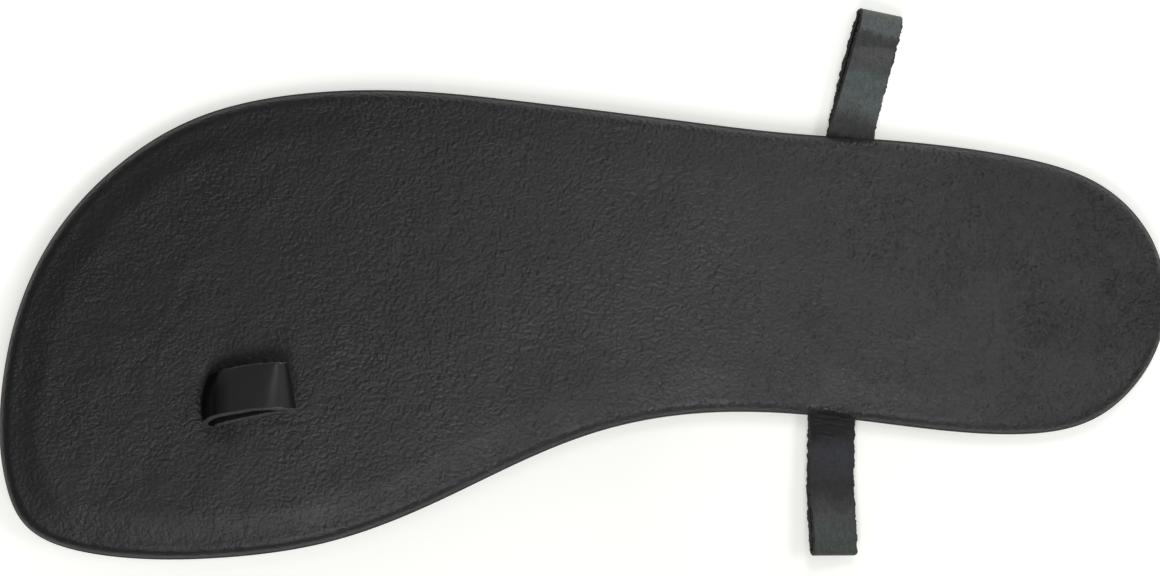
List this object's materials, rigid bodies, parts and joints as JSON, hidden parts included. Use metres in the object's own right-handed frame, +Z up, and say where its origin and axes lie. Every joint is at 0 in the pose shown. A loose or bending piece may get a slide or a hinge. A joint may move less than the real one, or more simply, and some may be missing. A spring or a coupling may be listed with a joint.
{
  "type": "leather sandal with lace loops",
  "caption": "Thin flat leather sandal for the right foot: wrapped footbed with a rolled rim, rubber outsole, and folded leather loops behind the toes and beside the heel for a lace.",
  "frame": {"origin": "on the floor, under the middle of the footbed's length, on the line through the middle of the heel", "axes": "+X to the toe, +Y to the inner side of the right foot, +Z up out of the footbed"},
  "size_m": [0.2538, 0.12, 0.0205],
  "materials": {
    "outsole": "matt black sheet rubber with a fine tread",
    "board": "plain fibre board, hidden inside the leather",
    "footbed_leather": "black full-grain leather, pebbled, soft sheen",
    "strip_leather": "smooth black leather strip with raw cut edges"
  },
  "bodies": {
    "root": {"outsole": "outsole", "insole_board": "board", "footbed_cover": "footbed_leather", "toe_loop": "strip_leather", "heel_loop_medial": "strip_leather", "heel_loop_lateral": "strip_leather"}
  },
  "joints": []
}
